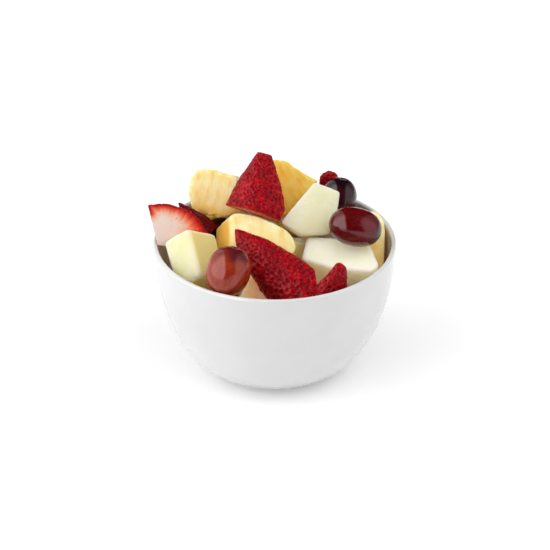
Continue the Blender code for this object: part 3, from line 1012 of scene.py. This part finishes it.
def make_world():
    """Two big soft panels and a weak light from above.

    The left panel is the brighter one, and what is behind the object is dim. Shiny skins mirror the panels
    as two windows with a dark gap between them. Past the floor the camera sees plain white.
    """
    world = bpy.data.worlds.new("studio")
    bpy.context.scene.world = world
    world.use_nodes = True
    tree = world.node_tree
    way = tree.nodes.new("ShaderNodeSeparateXYZ")
    tree.links.new(tree.nodes.new("ShaderNodeTexCoord").outputs["Generated"], way.inputs[0])

    def fade(axis, low, high, start, end):
        """A value that goes from start to end as the direction's part along an axis goes from low to high."""
        made = tree.nodes.new("ShaderNodeMapRange")
        made.interpolation_type = "SMOOTHSTEP"
        for name, value in (("From Min", low), ("From Max", high), ("To Min", start), ("To Max", end)):
            made.inputs[name].default_value = value
        tree.links.new(way.outputs[axis], made.inputs["Value"])
        return made.outputs["Result"]

    def maths(operation, first, second):
        made = tree.nodes.new("ShaderNodeMath")
        made.operation = operation
        for socket, value in zip(made.inputs, (first, second)):
            if isinstance(value, float):
                socket.default_value = value
            else:
                tree.links.new(value, socket)
        return made.outputs[0]

    ahead = fade("Y", -0.15, 0.5, 1.0, BEHIND_SHARE)
    left = fade("X", -0.9, -0.28, PANEL_LEFT, 0.0)
    right = fade("X", 0.12, 0.65, 0.0, PANEL_RIGHT)
    left = maths("MULTIPLY", left, fade("Z", 0.15, 0.8, 1.0, LEFT_TOP))
    right = maths("MULTIPLY", right, fade("Z", 0.3, 0.8, 1.0, RIGHT_TOP))
    panels = maths("MULTIPLY", maths("ADD", left, right), ahead)
    light = maths("ADD", maths("ADD", panels, ROOM_LIGHT), fade("Z", 0.65, 1.0, 0.0, OVERHEAD))
    windows = maths("ADD", fade("X", -0.38, -0.28, WINDOW_LEFT, 0.0), fade("X", 0.5, 0.62, 0.0, WINDOW_RIGHT))
    windows = maths("MULTIPLY", windows, maths("MULTIPLY", ahead, fade("Z", -0.08, 0.04, 0.0, 1.0)))
    path = tree.nodes.new("ShaderNodeLightPath")
    mirrored = path.outputs["Is Glossy Ray"]
    light = maths("MULTIPLY", light, maths("SUBTRACT", 1.0, mirrored))
    light = maths("ADD", light, maths("MULTIPLY", windows, mirrored))
    seen = maths("MAXIMUM", light, path.outputs["Is Camera Ray"])
    tree.links.new(seen, tree.nodes["Background"].inputs["Strength"])
    tree.nodes["Background"].inputs["Color"].default_value = (1.0, 1.0, 1.0, 1.0)


def make_stage():
    """A plain pale floor that glows a little where it is seen, and the light."""
    corners = [(x * FLOOR_HALF, y * FLOOR_HALF, 0) for x, y in ((-1, -1), (1, -1), (1, 1), (-1, 1))]
    floor = add_mesh("floor", corners, [(0, 1, 2, 3)])
    look = Look("floor", Roughness=0.6)
    look.shader.inputs["Emission Color"].default_value = (1.0, 1.0, 1.0, 1.0)
    path = look.add("ShaderNodeLightPath").outputs
    seen = look.maths("MAXIMUM", path["Is Camera Ray"], path["Is Glossy Ray"])
    look.link(look.maths("MULTIPLY", seen, FLOOR_GLOW), look.shader.inputs["Emission Strength"])
    look.colour(look.ramp(look.noise(60.0, 2.0), (0.3, linear(244, 244, 245)), (0.7, linear(247, 247, 248))))
    floor.data.materials.append(look.material)
    make_world()
    bpy.context.scene.view_settings.view_transform = "Standard"


def make_fill(*names):
    """A weak soft light from the right, for the named pieces only. Nothing but themselves shades them."""
    light = bpy.data.lights.new("fill", "AREA")
    light.size = FILL_SIZE
    light.energy = FILL_WATTS
    fill = bpy.data.objects.new("fill", light)
    bpy.context.scene.collection.objects.link(fill)
    middle = Vector((0.0, 0.0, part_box("bowl")[1].z))
    fill.location = middle + FILL_DISTANCE * Vector(FILL_FROM).normalized()
    look_at(fill, middle)
    lit = bpy.data.collections.new("low_pieces")
    for name in names:
        lit.objects.link(bpy.data.objects[name + "_fruit"])
    fill.light_linking.receiver_collection = lit
    fill.light_linking.blocker_collection = lit


# ---------------------------------------------------------------- putting it together

make_camera()
make_stage()
make_bowl()

honeydew = melon_look("honeydew", linear(243, 239, 207), linear(236, 235, 194), linear(248, 246, 228),
                      linear(234, 214, 140), (1.0, 0.9, 0.5))
# Painted light: a paler copy of the honeydew, for a piece that sits in shade low in the bowl.
shade_lifted_honeydew = melon_look("shade_lifted_honeydew", linear(251, 248, 218), linear(246, 245, 204),
                           linear(252, 251, 240), linear(246, 232, 176), (1.0, 0.9, 0.5))
green_honeydew = melon_look("green_honeydew", linear(237, 233, 192), linear(228, 226, 174),
                            linear(244, 240, 214), linear(214, 194, 100), (1.0, 0.9, 0.5))
# Paler than cantaloupe flesh: partly its own colour, partly painted light for pieces that sit in shade low in
# the bowl.
cantaloupe = melon_look("cantaloupe", linear(253, 208, 160), linear(250, 184, 128), linear(254, 234, 208),
                        linear(244, 162, 96), (1.0, 0.6, 0.3))
pale_pineapple = pineapple_look("pale_pineapple", linear(253, 240, 188), linear(253, 224, 152),
                                linear(242, 188, 72), 0.2)
golden_pineapple = pineapple_look("golden_pineapple", linear(252, 218, 112), linear(250, 202, 82),
                                  linear(240, 176, 44), 0.4)
strawberry = strawberry_look("strawberry", 0.0)
# Painted shade: a darker copy of the strawberry, for the berry that lies in shade at the back on the left.
shaded_strawberry = strawberry_look("shaded_strawberry", 0.68)
seeds = seed_look()
red_grape = grape_look("red_grape", linear(150, 44, 20), linear(160, 56, 26), linear(118, 18, 20),
                       linear(168, 120, 128), linear(84, 14, 30))
crimson_grape = grape_look("crimson_grape", linear(94, 5, 10), linear(108, 10, 15), linear(66, 2, 10),
                           linear(150, 110, 120), linear(56, 3, 14))
dark_grape = grape_look("dark_grape", linear(50, 10, 18), linear(62, 18, 26), linear(30, 4, 10),
                        linear(110, 90, 100), linear(26, 3, 10))

chunk("honeydew_left", "honeydew", green_honeydew, (0, 0, 1), 10, rounding=40,
      rind_tint_and_shade=[(0.61, -0.33, 0.72)], low=0.5)
chunk("honeydew_right", "honeydew", shade_lifted_honeydew, (1, 0, 0), 11, rounding=16)
chunk("honeydew_top", "honeydew", honeydew, (0.4, 0, 1), 12, rounding=9, low=0.3)
chunk("honeydew_under", "honeydew", honeydew, (0, 0, 1), 13, rind_tint_and_shade=[(-0.3, -1, 0.3)])
chunk("honeydew_rear", "honeydew", honeydew, (0, 0, 1), 14, rounding=10)
chunk("pineapple_centre", "pineapple", pale_pineapple, (0, 0, 1), 20, 30, ribs=0.03, bites=0.3,
      rind_tint_and_shade=[(0.8, -0.3, -0.5), (-0.9, -0.4, 0)], low=0.5)
chunk("pineapple_left", "pineapple", pale_pineapple, (0.1, 0, 1), 21, 20, ribs=0.06, bites=1.2,
      rind_tint_and_shade=[(-0.1, -0.8, -0.6)], low=0.9)
chunk("pineapple_back", "pineapple", golden_pineapple, (0.5, 0, -1), 22, 14, ribs=0.15, bites=1.0, low=0.4)
# Painted light: this piece sits in shade and takes the paler pineapple so that it looks brighter.
chunk("pineapple_right", "pineapple", pale_pineapple, (0, 0, 1), 23, 12, ribs=0.1, bites=0.6, low=0.4)
chunk("pineapple_rear", "pineapple", golden_pineapple, (0, 0, 1), 24, 14, ribs=0.2, bites=0.6)
chunk("cantaloupe_front", "cantaloupe", cantaloupe, (0.3, 0, 1), 30, 12)
chunk("cantaloupe_low", "cantaloupe", cantaloupe, (1, 0, 0), 31, 12)
chunk("cantaloupe_rear", "cantaloupe", cantaloupe, (0, 0, 1), 32, 10)

berry("strawberry_top", (0, 0.5, 1), strawberry, seeds, 40, (3.0, 2.4), flesh=(9.0, 9.0))
berry("strawberry_front", (-1, 0.4, 0.6), strawberry, seeds, 41, (3.5, 2.3))
berry("strawberry_small", (0.2, 0, 1), strawberry, seeds, 42, (3.1, 2.4), skinned=(-0.72, -0.41, 0.56))
berry("strawberry_left", (1, 0, -0.2), strawberry, seeds, 43, (3.0, 2.4), flesh=(7.0, 20.0),
      red_side=(0.5, 0, 0.87))
berry("strawberry_left_back", (-0.5, 0.1, 0.8), shaded_strawberry, seeds, 44, (2.8, 2.2))
berry("strawberry_back", (0, 0, 1), strawberry, seeds, 45, (2.8, 2.2))
berry("strawberry_rear", (-0.5, 1, 0), strawberry, seeds, 46, (2.8, 2.2))

grape("grape_front", "red_grape", red_grape, (0.3, 0.3, 1.0), 50)
grape("grape_right", "red_grape", crimson_grape, (1.0, 0.1, -0.3), 51)
grape("grape_rear", "red_grape", crimson_grape, (-1.0, -0.5, 0.1), 52)
grape("grape_back", "dark_grape", dark_grape, (0.2, 0.2, 1.0), 53)
grape("grape_left", "dark_grape", dark_grape, (1.0, 0.2, 0.3), 54)

bend("honeydew_left", (0, 1, (-2.5, 0.0, 3.6)), (1, 1, (1.5, 0.0, 3.0)))
bend("strawberry_small", (0, 0, (-4.5, 0.0, 0.0)), (0, 1, (-2.0, 0.0, 0.0)))

make_below([
    ("melon_below", [template("honeydew_rear", 0.2), template("honeydew_under", 0.4)],
     ("honeydew", honeydew), 3),
    ("orange_melon_below", [template("cantaloupe_rear", 0.22), template("cantaloupe_low", 0.35)],
     ("cantaloupe", cantaloupe), 3),
    ("pineapple_below", [template("pineapple_rear", 0.25)], ("pineapple", golden_pineapple), 4),
    ("strawberry_below", [template("strawberry_rear", 0.24)], ("strawberry", strawberry), 2),
    ("grape_below", [template("grape_rear", 0.3)], ("red_grape", crimson_grape), 1),
])
make_core()
make_fill("honeydew_right", "honeydew_under", "pineapple_right", "cantaloupe_front", "cantaloupe_low")
